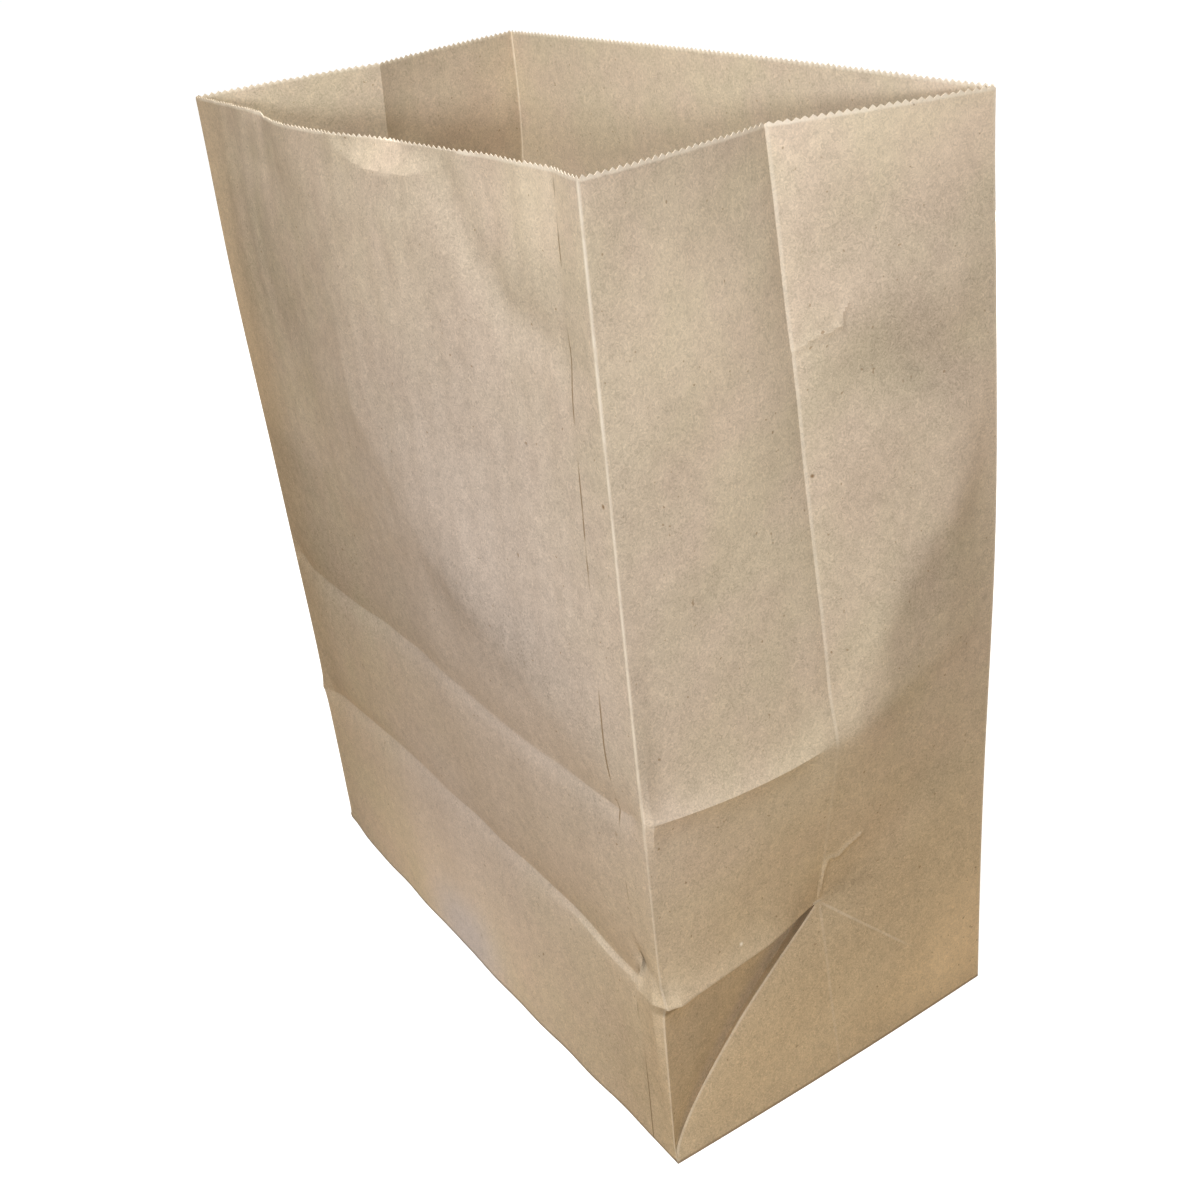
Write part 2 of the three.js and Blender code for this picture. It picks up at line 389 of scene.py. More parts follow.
# %% [markdown]
# ## Wave of the mouth
#
# The front panel's mouth edge has gone wavy, out near the left and in near the lap seam. The outward wave
# runs down the panel as a soft crest that drifts to the right and dies at the high fold. Levels up the
# panel say where that crest is, and points between them follow. A pinch and a half-round dent sit in the
# rim. Here and below, places are in mm from the panel's left corner and from the ground.

# %% Front panel: wave of the mouth
CREST_LEVELS = (176, 200, 220, 240, 300, 385, 397, 414)
CREST_OUT = (0, 3.0, 5.0, 7.0, 9.4, 8.8, 8.5, 8.0)
CREST_PLACE = (300, 275, 235, 192, 142, 146, 124, 120)
CREST_RISE = (1.0, 1.0, 1.0, 1.0, 1.3, 2.0, 4.5, 5.0)
CREST_AFTER = (50, 55, 62, 70, 78, 95, 105, 100)
CURL_FOOT = 310
CURL_RUN = 60
UNCURLED_RISE = 1.35
DIP_IN = (6.3, 268, 40, 90)
DIP_FOOT = 230
PINCH_IN = (3.0, 82, 20, 12)
PINCH_REACH = 16
DENT_IN = 4.6
DENT_PLACE = 203
DENT_HALF_WIDTH = 40
DENT_HEIGHT = 12.5
WAVE_CORNER_RUN = 24


def up_the_panel(height, values, spread=6.0):
    """A value given at the crest's levels, followed up the panel with its corners rounded."""
    steps = [np.interp(height + shift * spread, CREST_LEVELS, values) for shift in (-1, -0.5, 0, 0.5, 1)]
    return sum(steps) / len(steps)


def mouth_wave(from_left, height):
    """How far the wave stands out: its crest, less the dip by the seam, the pinch and the dent."""
    from_top = BAG_HEIGHT - height
    place = up_the_panel(height, CREST_PLACE)
    share = np.clip(from_left / place, 0, 1)
    curled = ease((height - CURL_FOOT) / CURL_RUN)
    curl = np.sin(math.pi / 2 * share) ** up_the_panel(height, CREST_RISE)
    rise = curled * curl + (1 - curled) * share ** UNCURLED_RISE
    fall = hump(from_left - place, 1, up_the_panel(height, CREST_AFTER))
    crest = up_the_panel(height, CREST_OUT) * np.where(from_left < place, rise, fall)
    dip = swell(from_left, DIP_IN) * ease((height - DIP_FOOT) / (BAG_HEIGHT - DIP_FOOT))
    pinch = swell(from_left, PINCH_IN) * np.exp(-from_top / PINCH_REACH)
    off_dent = np.hypot((from_left - DENT_PLACE) / DENT_HALF_WIDTH, from_top / DENT_HEIGHT)
    dent = DENT_IN * np.maximum(0, 1 - off_dent)
    return (crest - dip - pinch - dent) * np.minimum(1, (BAG_WIDTH - from_left) / WAVE_CORNER_RUN)


rim = np.linspace(0, BAG_WIDTH, 84)
rim_wave = mouth_wave(rim, np.full_like(rim, BAG_HEIGHT))
print("Rim of the front stands", rim_wave.min().round(1), "to", rim_wave.max().round(1), "mm out")

# %% [markdown]
# ## Folds of the front panel
#
# The front was pressed flat with the base folded over it, so it has a valley along each cross fold. The
# two fold lines stand in or out a little on their way, and the paper around them follows, as a sheet does
# between two rails. The lap strip at the right is two sheets thick and doesn't take the low fold: it
# stands out there as a short ridge, with a pinch in its edge just above.

# %% Front panel: folds
BELLY_OUT = (3.0, 165, 60, 75)
BELLY_LEFT_RUN = 35
BELLY_RIGHT_RUN = 240
FLARE_OUT = 2.8
FLARE_LEFT_RUN = 40
FLARE_RIGHT_RUN = 110
FLARE_END = 300
LOW_RAIL_IN = (4.6, 262, 95, 60)
HIGH_RAIL_IN = (2.2, 105, 40, 45)
HIGH_RAIL_OUT = (1.4, 225, 60, 60)
HIGH_RAIL_FADE = 110
HIGH_VALLEY = 2.4
HIGH_VALLEY_LEFT = (0.5, 0, 1, 70)
HIGH_VALLEY_MIDDLE = (0.4, 165, 50, 60)
LOW_VALLEY = 2.0
LOW_VALLEY_GAIN = 0.6
LOW_VALLEY_LEFT = (0.9, 20, 20, 80)
LOW_VALLEY_MIDDLE = (0.8, 160, 60, 60)
HIGH_VALLEY_SIDES = (7, 12)
LOW_VALLEY_SIDES = (6.5, 14)
UNDER_LIP_OUT = (1.5, 288, 40, 22)
UNDER_LIP_DROP = 4
LAP_STEP = 1.6
LAP_RIDGE_OUT = 3.0
LAP_RIDGE_DOWN = 60
LAP_RIDGE_UP = 12
LAP_PINCH_IN = (2.4, LAP_EDGE + 1, 4, 6)
LAP_PINCH_RUN = 10


def panel_bow(from_left, height):
    """How far the panel bellies out near the high fold, and its foot flares."""
    belly = swell(height, BELLY_OUT) * (1 - np.exp(-from_left / BELLY_LEFT_RUN))
    belly *= ease((BAG_WIDTH - from_left) / BELLY_RIGHT_RUN)
    flare = FLARE_OUT * ease(from_left / FLARE_LEFT_RUN) * ease((FLARE_END - from_left) / FLARE_RIGHT_RUN)
    return belly + flare * np.maximum(0, 1 - height / LOW_FOLD)


def fold_rails(from_left, height):
    """How far the two fold lines stand out along the panel, shared out to the paper around them."""
    at_low = -swell(from_left, LOW_RAIL_IN)
    at_high = swell(from_left, HIGH_RAIL_OUT) - swell(from_left, HIGH_RAIL_IN)
    under_high = tent((height - HIGH_FOLD) / LOW_FOLD)
    over_high = 1 - ease((height - HIGH_FOLD) / HIGH_RAIL_FADE)
    high_share = np.where(height < HIGH_FOLD, under_high, over_high)
    return at_low * tent((height - LOW_FOLD) / LOW_FOLD) + at_high * high_share


def on_lap(from_left):
    """1 on the lap strip and 0 off it, with a steep step at its edge."""
    return ease((from_left - LAP_EDGE) / LAP_STEP + 0.5)


def fold_valleys(from_left, height):
    """Depth of the valleys along the two cross folds, less a lip that stands out under the low one."""
    high_depth = HIGH_VALLEY + swell(from_left, HIGH_VALLEY_LEFT) - swell(from_left, HIGH_VALLEY_MIDDLE)
    low_depth = LOW_VALLEY + LOW_VALLEY_GAIN * ease(from_left / BAG_WIDTH)
    low_depth += swell(from_left, LOW_VALLEY_LEFT) - swell(from_left, LOW_VALLEY_MIDDLE)
    valleys = high_depth * crease(height - HIGH_FOLD, *HIGH_VALLEY_SIDES)
    valleys += low_depth * crease(height - LOW_FOLD, *LOW_VALLEY_SIDES) * (1 - on_lap(from_left))
    lip = swell(from_left, UNDER_LIP_OUT) * crease(height - LOW_FOLD + UNDER_LIP_DROP, 4, 2.5, 0.6)
    return valleys - lip


def lap_strip(from_left, height):
    """How far the lap strip stands out: its ridge at the low fold, less the pinch above it."""
    over = height - LOW_FOLD
    ridge = LAP_RIDGE_OUT * on_lap(from_left) * tent(over / np.where(over < 0, LAP_RIDGE_DOWN, LAP_RIDGE_UP))
    return ridge - swell(from_left, LAP_PINCH_IN) * tent((over - LAP_RIDGE_UP) / LAP_PINCH_RUN)


low_valley = fold_valleys(rim, np.full_like(rim, LOW_FOLD))
print("Low valley is", low_valley.min().round(1), "to", low_valley.max().round(1), "mm deep")

# %% [markdown]
# ## Slack of the front panel
#
# Handled paper is never flat. Long waves, shorter ones above the high fold, upright streaks and a low
# ridge near the left edge, and a shallow dent by the seam are added to the folds. They fade out toward
# the corners, which hold the sheet straight.

# %% Front panel: slack
LONG_SLACK = 0.45
LONG_SEED = 11
SHORT_SLACK = 0.24
SHORT_SEED = 31
SHORTER = 3
SHORT_RUN = 60
SEAM_DENT = ((238, 402), (252, 378), (268, 360), (322, 350))
SEAM_DENT_IN = 1.4
SEAM_DENT_WIDTH = 9
STREAKS_OUT = (0.42, 45, 30, 30)
STREAK_SPACING = 23
STREAK_FOOT = 270
STREAK_RUN = 80
LEFT_RIDGE_OUT = (1.1, 35, 40, 60)
LEFT_RIDGE_HEIGHT = 247
LEFT_RIDGE_REACH = 24
FOLD_LEFT_RUN = 6
FOLD_RIGHT_RUN = 14
SLACK_CORNER_RUN = 40
LAP_CORNER_RUN = 6


def front_slack(from_left, height):
    """Soft unevenness of the front panel, in mm."""
    soft = LONG_SLACK * slack(from_left, height, LONG_SEED)
    short = slack(SHORTER * from_left, SHORTER * height, SHORT_SEED)
    soft += SHORT_SLACK * short * ease((height - HIGH_FOLD) / SHORT_RUN)
    soft -= SEAM_DENT_IN * wrinkle(from_left, height, SEAM_DENT, SEAM_DENT_WIDTH)
    streaks = swell(from_left, STREAKS_OUT) * np.sin(2 * math.pi * from_left / STREAK_SPACING)
    soft += streaks * ease((height - STREAK_FOOT) / STREAK_RUN)
    ridge = crease(height - LEFT_RIDGE_HEIGHT, LEFT_RIDGE_REACH, LEFT_RIDGE_REACH, 3)
    return soft + swell(from_left, LEFT_RIDGE_OUT) * ridge


def front_stand(from_left, height):
    """How far the front panel stands out from the box, in mm."""
    from_right = BAG_WIDTH - from_left
    folds = fold_rails(from_left, height) - fold_valleys(from_left, height)
    stand = mouth_wave(from_left, height) + panel_bow(from_left, height)
    stand += folds * ease(np.minimum(from_left / FOLD_LEFT_RUN, from_right / FOLD_RIGHT_RUN))
    to_corner = np.minimum(from_left, from_right)
    stand += front_slack(from_left, height) * ease(to_corner / SLACK_CORNER_RUN)
    return stand + lap_strip(from_left, height) * ease(from_right / LAP_CORNER_RUN)


front_out = front_stand(*np.meshgrid(rim, np.linspace(0, BAG_HEIGHT, 104)))
print("Front panel stands", front_out.min().round(1), "to", front_out.max().round(1), "mm out")

# %% [markdown]
# ## Gussets
#
# Each gusset has a middle fold that goes in at the mouth, comes out to a knee at the high cross fold and
# goes in again to a junction where the slanted corner folds meet. Its back half was never creased hard:
# there a soft ridge runs up from the knee to the back corner, and two short wrinkles lie beside the fold.

# %% Gusset: middle fold and back half
MOUTH_FOLD_IN = 19.0
KNEE_OUT = 6.5
JUNCTION_IN = 9.0
RIDGE_RISE = 105.0
RIDGE_OUT = 4.0
LOW_RIDGE_SLOPE = 0.3
LOW_RIDGE_OUT = 0.9
BACK_WAVE_OUT = 1.0
BACK_WAVE_LENGTH = 68
JUNCTION_WRINKLE = ((88, 91), (89.5, 106), (91, 112), (96, 110.5), (99.5, 114), (107, 118))
JUNCTION_WRINKLE_OUT = 0.55
SIDE_WRINKLE = ((88, 334), (92, 335.5), (96.5, 338), (101, 338.2), (108.5, 340.5), (108.4, 344), (111.5, 348))
SIDE_WRINKLE_OUT = 0.4


def middle_fold(height):
    """How far the middle fold of a gusset stands out, on straight runs between its bends."""
    bends = (-LOW_FOLD, 0, LOW_FOLD, HIGH_FOLD, BAG_HEIGHT, 2 * BAG_HEIGHT)
    fall = (KNEE_OUT + MOUTH_FOLD_IN) / (BAG_HEIGHT - HIGH_FOLD)
    beyond = KNEE_OUT - fall * (2 * BAG_HEIGHT - HIGH_FOLD)
    return np.interp(height, bends, (JUNCTION_IN, 0, -JUNCTION_IN, KNEE_OUT, -MOUTH_FOLD_IN, beyond))


def back_half(from_front, height):
    """The uncreased half: the same fold, rounder the further back it is, with the soft ridge."""
    behind = np.clip(from_front / HALF_DEPTH - 1, 0, 1)
    reach = 4 + 50 * ease(behind / 0.8)
    shifts = np.linspace(-1, 1, 9)
    rounded = sum(middle_fold(height + reach * shift) for shift in shifts) / len(shifts)
    off_ridge = (height - HIGH_FOLD - RIDGE_RISE * behind ** 0.8) / math.hypot(1, RIDGE_RISE / HALF_DEPTH)
    ridge = RIDGE_OUT * crease(off_ridge, 30, 22, 4) * ease(behind / 0.35) * ease((1 - behind) / 0.3)
    off_fold = height - HIGH_FOLD - LOW_RIDGE_SLOPE * HALF_DEPTH * behind
    ridge += LOW_RIDGE_OUT * crease(off_fold, 9, 16, 3) * ease(behind / 0.15) * ease((1 - behind) / 0.4)
    waves = BACK_WAVE_OUT * np.sin(2 * math.pi * (height - 330) / BACK_WAVE_LENGTH)
    waves *= ease(behind / 0.3) * hump(height - 332, 45, 38)
    small = JUNCTION_WRINKLE_OUT * wrinkle(from_front, height, JUNCTION_WRINKLE, 1.2)
    small += SIDE_WRINKLE_OUT * wrinkle(from_front, height, SIDE_WRINKLE, 1.0)
    return (1 - behind) * rounded + ridge + waves * ease((1 - behind) / 0.2) + small


fold_out = middle_fold(np.linspace(0, BAG_HEIGHT, 104))
print("Middle fold stands", fold_out.min().round(1), "to", fold_out.max().round(1), "mm out")

# %% [markdown]
# ## Creased half of a gusset
#
# On the front half the cross folds are sharp ridges with a flared lip along them, and the panel between
# them is dished. Under the low fold a triangle of paper is tucked in deep behind the slanted corner fold,
# a little further in than its cover's edge, so that the edge throws a shadow on it.

# %% Gusset: front half
LOW_LIP_OUT = 5.4
HIGH_LIP_OUT = 2.4
DISH_IN = 1.6
HOLLOW_OVER = 2.6
HOLLOW_UNDER = 1.3
FOLD_SIDE_IN = 1.0
TUCK_IN = 5.5
TUCK_RUN = 70.0
UNDER_REACH = 1.5


def low_lip(from_front, height):
    """The lip flared along the low fold: most near the corner, less toward the middle fold."""
    share = (0.4 + 0.6 * ease(from_front / 8)) * (0.5 + 0.5 * np.exp(-from_front / 35))
    share = share * ease((HALF_DEPTH - from_front) / 34)
    return LOW_LIP_OUT * share * crease(height - LOW_FOLD, 4, 10, 0.5)


def front_half(from_front, height):
    """The creased half above the low fold: sharp folds, flared lips and a dished panel between them."""
    across = np.clip(from_front / HALF_DEPTH, 0, 1)
    near_corner = ease(from_front / 4) * (0.35 + 0.65 * np.exp(-from_front / 30)) * ease((1 - across) / 0.3)
    high_lip = HIGH_LIP_OUT * near_corner * crease(height - HIGH_FOLD, 8, 9, 1.5)
    between = np.clip((height - LOW_FOLD) / LOW_FOLD, 0, 1)
    dish = DISH_IN * np.sin(math.pi * across) * np.sin(math.pi * between)
    off = np.abs(height - HIGH_FOLD)
    hollow = np.where(height > HIGH_FOLD, HOLLOW_OVER * (1 - np.exp(-off / 7)) * np.exp(-off / 50),
                      HOLLOW_UNDER * (1 - np.exp(-off / 6)) * np.exp(-off / 30))
    hollow = hollow * ease(from_front / 10) * ease((HALF_DEPTH - from_front) / 16)
    fold = sum(middle_fold(height + shift) for shift in (-3, -1.5, 0, 1.5, 3)) / 5
    return across ** 1.12 * fold + high_lip + low_lip(from_front, height) - dish - hollow


def tuck_depth(from_front, height):
    """Depth of the tucked triangle behind the paper that covers it."""
    steep = np.minimum((LOW_FOLD - height) / FOLD_ROUND, (height - from_front) / TUCK_SIDE)
    under = np.abs(height - from_front - TUCK_SIDE) < TOLERANCE
    depth = TUCK_IN / TUCK_RUN * from_front
    beneath = (TUCK_IN / TUCK_RUN + JUNCTION_IN / HALF_DEPTH) * (TUCK_SIDE + UNDER_REACH * depth)
    return (depth + beneath * under) * np.clip(steep, 0, 1)


def front_foot(from_front, height):
    """The front half under the low fold: a leaning panel, and the triangle tucked in behind its edge."""
    across = np.clip(from_front / HALF_DEPTH, 0, 1)
    panel = -JUNCTION_IN * np.minimum(across, height / LOW_FOLD)
    past_fold = from_front - height
    beside_fold = np.exp(-np.maximum(past_fold, 0) / 5)
    panel -= FOLD_SIDE_IN * beside_fold * ease(height / 10) * ease((1 - across) / 0.2)
    tucked = panel + low_lip(from_front, height) - tuck_depth(from_front, height)
    return np.where(past_fold < -TOLERANCE, tucked, panel)


deepest = tuck_depth(np.array([TUCK_RUN]), np.array([TUCK_RUN + 2 * TUCK_SIDE]))
print("Triangle tucked in", deepest[0].round(1), "mm at", TUCK_RUN, "mm from the corner")

# %% [markdown]
# ## Whole gusset
#
# The two halves meet at the middle fold, which is pinched in sharply above the knee. A flared foot, a wave
# near the mouth, a little slack and the pushed-out front corner at the low fold are added to them.

# %% Gusset stand
KICK_OUT = 1.7
FOOT_FLARE = 1.2
HIGH_WAVE = 0.6
HIGH_WAVE_LENGTH = 110
GUSSET_SLACK = 0.35
PINCHED_IN = 1.8


def corner_kick(height):
    """How far the front corner is pushed out at the low fold, fading under it and quickly above it."""
    over = height - LOW_FOLD
    return KICK_OUT * np.where(over < 0, tent(over / 75), tent(over / 9))


def gusset_stand(from_front, height):
    """How far a gusset stands out from the box, in mm."""
    foot = front_foot(from_front, height)
    creased = np.where(height < LOW_FOLD - TOLERANCE, foot, front_half(from_front, height))
    stand = np.where(from_front < HALF_DEPTH, creased, back_half(from_front, height))
    to_corner = np.minimum(from_front, BAG_DEPTH - from_front)
    flare = FOOT_FLARE * np.sin(math.pi * from_front / BAG_DEPTH) * np.maximum(0, 1 - height / LOW_FOLD)
    wave = -HIGH_WAVE * np.sin(2 * math.pi * (height - 360) / HIGH_WAVE_LENGTH) * ease((height - 260) / 60)
    wave *= ease(from_front / 20) * ease((HALF_DEPTH - from_front) / 20)
    soft = GUSSET_SLACK * slack(from_front, height, 23) * ease(to_corner / 40) * ease(height / 30)
    pinched = PINCHED_IN * crease(from_front - HALF_DEPTH, 10, 7, 0.3) * ease((height - HIGH_FOLD) / 25)
    return stand + flare + wave + soft - pinched + corner_kick(height) * tent(from_front / 12)


gusset_out = gusset_stand(*np.meshgrid(np.linspace(0, BAG_DEPTH, 56), np.linspace(0, BAG_HEIGHT, 104)))
print("Gusset stands", gusset_out.min().round(1), "to", gusset_out.max().round(1), "mm out")

# %% [markdown]
# ## Pressing the folds in
#
# Now every point of the grid is moved. The panels go out or in by their stands, and the lap strip goes
# sideways with the corner beside it. On each gusset the slanted front fold is bowed, because on the real
# sack the paper beside it has slid over the tucked triangle.

# %% Folded shape
FOLD_BOW = 12.5


def bowed(from_front, height):
    """Moves points along a gusset's foot: the slanted fold runs in a bow, and the tuck goes under it."""
    place = np.clip(height / (LOW_FOLD + 2), TINY, 1)
    bow = FOLD_BOW * np.sin(math.pi * place ** 0.7) * (height <= LOW_FOLD)
    fold = np.clip(height, TINY, LOW_FOLD)
    before = np.clip(from_front / fold, 0, 1)
    after = np.clip((HALF_DEPTH - from_front) / np.maximum(HALF_DEPTH - fold, TINY), 0, 1)
    share = np.where(from_front <= height, before, after) * (from_front < HALF_DEPTH)
    under = np.abs(height - from_front - TUCK_SIDE) < TOLERANCE
    slid = under * (TUCK_SIDE + UNDER_REACH * TUCK_IN / TUCK_RUN * from_front) * (height < LOW_FOLD)
    return from_front - bow * share + slid


x, y, z = flat_points.T
from_left = x + HALF_WIDTH
from_front = y + HALF_DEPTH
on_front = np.abs(from_front) < TOLERANCE
on_side = np.abs(np.abs(x) - HALF_WIDTH) < TOLERANCE
folded = flat_points.copy()
folded[on_front, 1] -= front_stand(from_left, z)[on_front]
inside_lap = on_front & (from_left > LAP_EDGE) & ~on_side
lap_share = (from_left - LAP_EDGE) / LAP_WIDTH
folded[inside_lap, 0] += (lap_share ** 2 * gusset_stand(0 * z, z))[inside_lap]
folded[on_side, 1] = (bowed(from_front, z) - HALF_DEPTH)[on_side]
folded[on_side, 0] += (np.sign(x) * gusset_stand(from_front, z))[on_side]
folded[:, 2] -= tooth_drop
print("Pressed in:", int(on_front.sum()), "points of the front and", int(on_side.sum()), "of the gussets")

# %% [markdown]
# ## Folds that don't run level
#
# The cross folds sag or lift along their way, since no sheet is folded quite square. The rim rises a
# little in the middle of the back and the left side, and at the near corner. Points only move up or down
# here.

# %% Uneven levels
HIGH_SAG = 3.6
LOW_SAG = 2.0
FRONT_LIFT = (9.0, 118, 95, 85)
CORNER_DROP = (4.0, 292, 30, 40)
FRONT_DROP = 4.4
HELD_UP = (0.85, 160, 55, 50)
LEVEL_REACH = 50
LEVEL_CORNER_RUN = 20
LOW_SAG_REACH = 34
RIM_LIFT = 1.2
RIM_LIFT_FOOT = 330
RIM_LIFT_RUN = 84
LEFT_RIM_SHARE = 0.7
CORNER_RIM_REACH = 40

front_half_share = np.sin(math.pi * np.clip(from_front / HALF_DEPTH, 0, 1) ** 0.9)
sag = HIGH_SAG * tent((z - HIGH_FOLD) / LEVEL_REACH) + LOW_SAG * tent((z - LOW_FOLD) / LOW_SAG_REACH)
folded[on_side, 2] -= (sag * front_half_share)[on_side]
low_lift = swell(from_left, FRONT_LIFT) - swell(from_left, CORNER_DROP)
high_drop = FRONT_DROP * (1 - swell(from_left, HELD_UP))
lift = low_lift * tent((z - LOW_FOLD) / LEVEL_REACH) - high_drop * tent((z - HIGH_FOLD) / LEVEL_REACH)
folded[on_front, 2] += (lift * ease((HALF_WIDTH - np.abs(x)) / LEVEL_CORNER_RUN))[on_front]
across_back = np.sin(math.pi * (0.5 + x / BAG_WIDTH)) * (y > HALF_DEPTH - TOLERANCE)
across_left = LEFT_RIM_SHARE * np.sin(math.pi * (0.5 + y / BAG_DEPTH)) * (x < TOLERANCE - HALF_WIDTH)
at_near_corner = np.exp(-np.hypot(x - HALF_WIDTH, from_front) / CORNER_RIM_REACH)
rim_share = ease((z - RIM_LIFT_FOOT) / RIM_LIFT_RUN)
folded[:, 2] += RIM_LIFT * rim_share * (across_back + across_left + at_near_corner)
print("Folds of the front lift by", lift.max().round(1), "and drop by", -lift.min().round(1), "mm")

# %% [markdown]
# ## Corners where they stand
#
# No used sack is square. Its corners are pulled to where they stand, each by an offset in mm, and
# everything between follows them evenly. Three of the upright corner folds also bow on their way up.

# %% Corner pulls
LEFT_BOW_OUT = (1.0, 110, 80, 70)
LEFT_BOW_IN = (1.4, 325, 70, 60)
RIGHT_BOW = (3.4, 245, 110, 110)
RIGHT_BOW_BACK = 0.4
FAR_BOW = (7.0, 290, 110, 70)
corner_pull = {
    (-1, -1, 1): (0.0, -1.0, -0.8),
    (1, -1, 1): (0.0, 1.0, 1.1),
    (1, 1, 1): (0.0, 1.3, -1.2),
    (-1, 1, 1): (0.0, -3.8, 2.0),
    (1, -1, 0): (0.5, -1.0, 0.0),
    (-1, -1, 0): (3.5, -0.6, 0.0),
    (1, 1, 0): (-1.8, 2.6, 0.0),
}

pull = np.zeros_like(folded)
for (side, front, top), offset in corner_pull.items():
    weight = (0.5 + side * x / BAG_WIDTH) * (0.5 + front * y / BAG_DEPTH)
    weight = weight * (z if top else BAG_HEIGHT - z) / BAG_HEIGHT
    pull += weight[:, None] * np.array(offset)
left_bow = swell(z, LEFT_BOW_OUT) * ease(z / 40) - swell(z, LEFT_BOW_IN)
right_bow = swell(z, RIGHT_BOW) * ease((BAG_HEIGHT - z) / 60) * ease(z / 60)
far_bow = swell(z, FAR_BOW) * ease((BAG_HEIGHT - z) / 90)
near_left = ((0.5 - x / BAG_WIDTH) * (0.5 - y / BAG_DEPTH)) ** 3
far_left = ((0.5 - x / BAG_WIDTH) * (0.5 + y / BAG_DEPTH)) ** 3
far_right = ((0.5 + x / BAG_WIDTH) * (0.5 + y / BAG_DEPTH)) ** 3
pull[:, 1] += left_bow * near_left - far_bow * far_left + RIGHT_BOW_BACK * right_bow * far_right
pull[:, 0] += right_bow * far_right
folded += pull
write_points(mesh, folded)
print("Folded box in mm:", folded.min(axis=0).round(1), folded.max(axis=0).round(1))

# %% [markdown]
# ## Thickness and shading
#
# Solidify gives the sheet its thickness on the inside, so the outside stays where it was folded. Smooth
# shading by angle keeps the soft bends soft and leaves the hard folds sharp.

# %% Sheet of paper
SOFT_BEND = math.radians(11)

bpy.ops.object.select_all(action="DESELECT")
sack.select_set(True)
bpy.context.view_layer.objects.active = sack
wall = sack.modifiers.new("paper", "SOLIDIFY")
wall.thickness = PAPER_THICKNESS * MM
wall.offset = -1
bpy.ops.object.modifier_apply(modifier=wall.name)
bpy.ops.object.shade_smooth_by_angle(angle=SOFT_BEND)
sack.data.calc_loop_triangles()
print("Sack:", len(sack.data.loop_triangles), "triangles")

# %% [markdown]
# ## Colours and a node helper
#
# Colours are written as they look on a screen and turned into the linear values that a shader works
# with. One small function adds a node and links it, and everything the paper shows is built with it.

# %% Colours and nodes
KRAFT_ROSY = "#C8B6A2"
KRAFT_YELLOW = "#C6B7A0"
# Painted light colours: a cool grey for the cooler light on the front, a warm deep tone for the shaded foot,
# a darker tan for the shaded left edge.
KRAFT_COOL_LIGHT = "#C6B7AB"
KRAFT_WARM_SHADE = "#CDB796"
KRAFT_SHADED_EDGE = "#C7B194"
# Painted reflection: the pale grey of a reflection on the front's foot.
KRAFT_PAINTED_REFLECTION = "#C0B7B4"
KRAFT_WORN = "#F2E7D6"
# Painted shadow colour, for the shade at the foot, under the low fold and beside the lap's edge.
KRAFT_PAINTED_SHADOW = "#6E5A42"
# Painted shadow of the narrow gap along the lap's edge.
SEAM_SHADOW = "#8F7A60"
FLECK_DARK = "#8A7053"


def linear(hex_colour):
    """An sRGB hex colour as linear RGBA."""
    parts = [int(hex_colour[i:i + 2], 16) / 255 for i in (1, 3, 5)]
    return tuple(p / 12.92 if p <= 0.04045 else ((p + 0.055) / 1.055) ** 2.4 for p in parts) + (1.0,)


def add_node(tree, kind, inputs=None, **settings):
    """Adds a node, sets its properties, and sets or links its inputs by name or number."""
    node = tree.nodes.new(kind)
    for name, value in settings.items():
        setattr(node, name, value)
    for socket, value in (inputs or {}).items():
        if isinstance(value, bpy.types.NodeSocket):
            tree.links.new(value, node.inputs[socket])
        else:
            node.inputs[socket].default_value = value
    return node


for name, colour in (("rosy", KRAFT_ROSY), ("yellow", KRAFT_YELLOW)):
    print("Kraft,", name, "in linear values:", [round(value, 3) for value in linear(colour)[:3]])

# %% [markdown]
# ## Worn lines and lines of painted shadow
#
# A fold line is straight on the flat sheet, so a mask for it needs only one coordinate across it and one
# along it, both from the sheet map. The lists hold every line that has worn pale and every line of painted
# shadow, where shade falls at the foot, under the gusset's low fold and beside the lap's edge: which
# coordinate it lies across, where, how far it reaches to each side, between which two places along it,
# and how strong it is.

# %% Fold lines
LINE_FADE = 10.0
LINE_CORE = 0.35


def fold_line(tree, ways, line):
    """A mask with the line's strength on the line, and soft sides and ends."""
    way, centre, reach, low, high, strength = line
    along = ways["u"] if way == "v" else ways["v"]
    offset = add_node(tree, "ShaderNodeMath", {0: ways[way], 1: centre * MM}, operation="SUBTRACT")
    beside = add_node(tree, "ShaderNodeMath", {0: offset.outputs[0]}, operation="ABSOLUTE")
    narrow = add_node(tree, "ShaderNodeMapRange", {
        "Value": beside.outputs[0], "From Min": LINE_CORE * reach * MM, "From Max": reach * MM,
        "To Min": strength, "To Max": 0.0,
    })
    lengthwise = add_node(tree, "ShaderNodeMath", {0: along, 1: (low + high) / 2 * MM}, operation="SUBTRACT")
    off_middle = add_node(tree, "ShaderNodeMath", {0: lengthwise.outputs[0]}, operation="ABSOLUTE")
    ends = add_node(tree, "ShaderNodeMapRange", {
        "Value": off_middle.outputs[0], "From Min": ((high - low) / 2 - LINE_FADE) * MM,
        "From Max": (high - low) / 2 * MM, "To Min": 1.0, "To Max": 0.0,
    })
    mask = add_node(tree, "ShaderNodeMath", {0: narrow.outputs[0], 1: ends.outputs[0]}, operation="MULTIPLY")
    return mask.outputs[0]


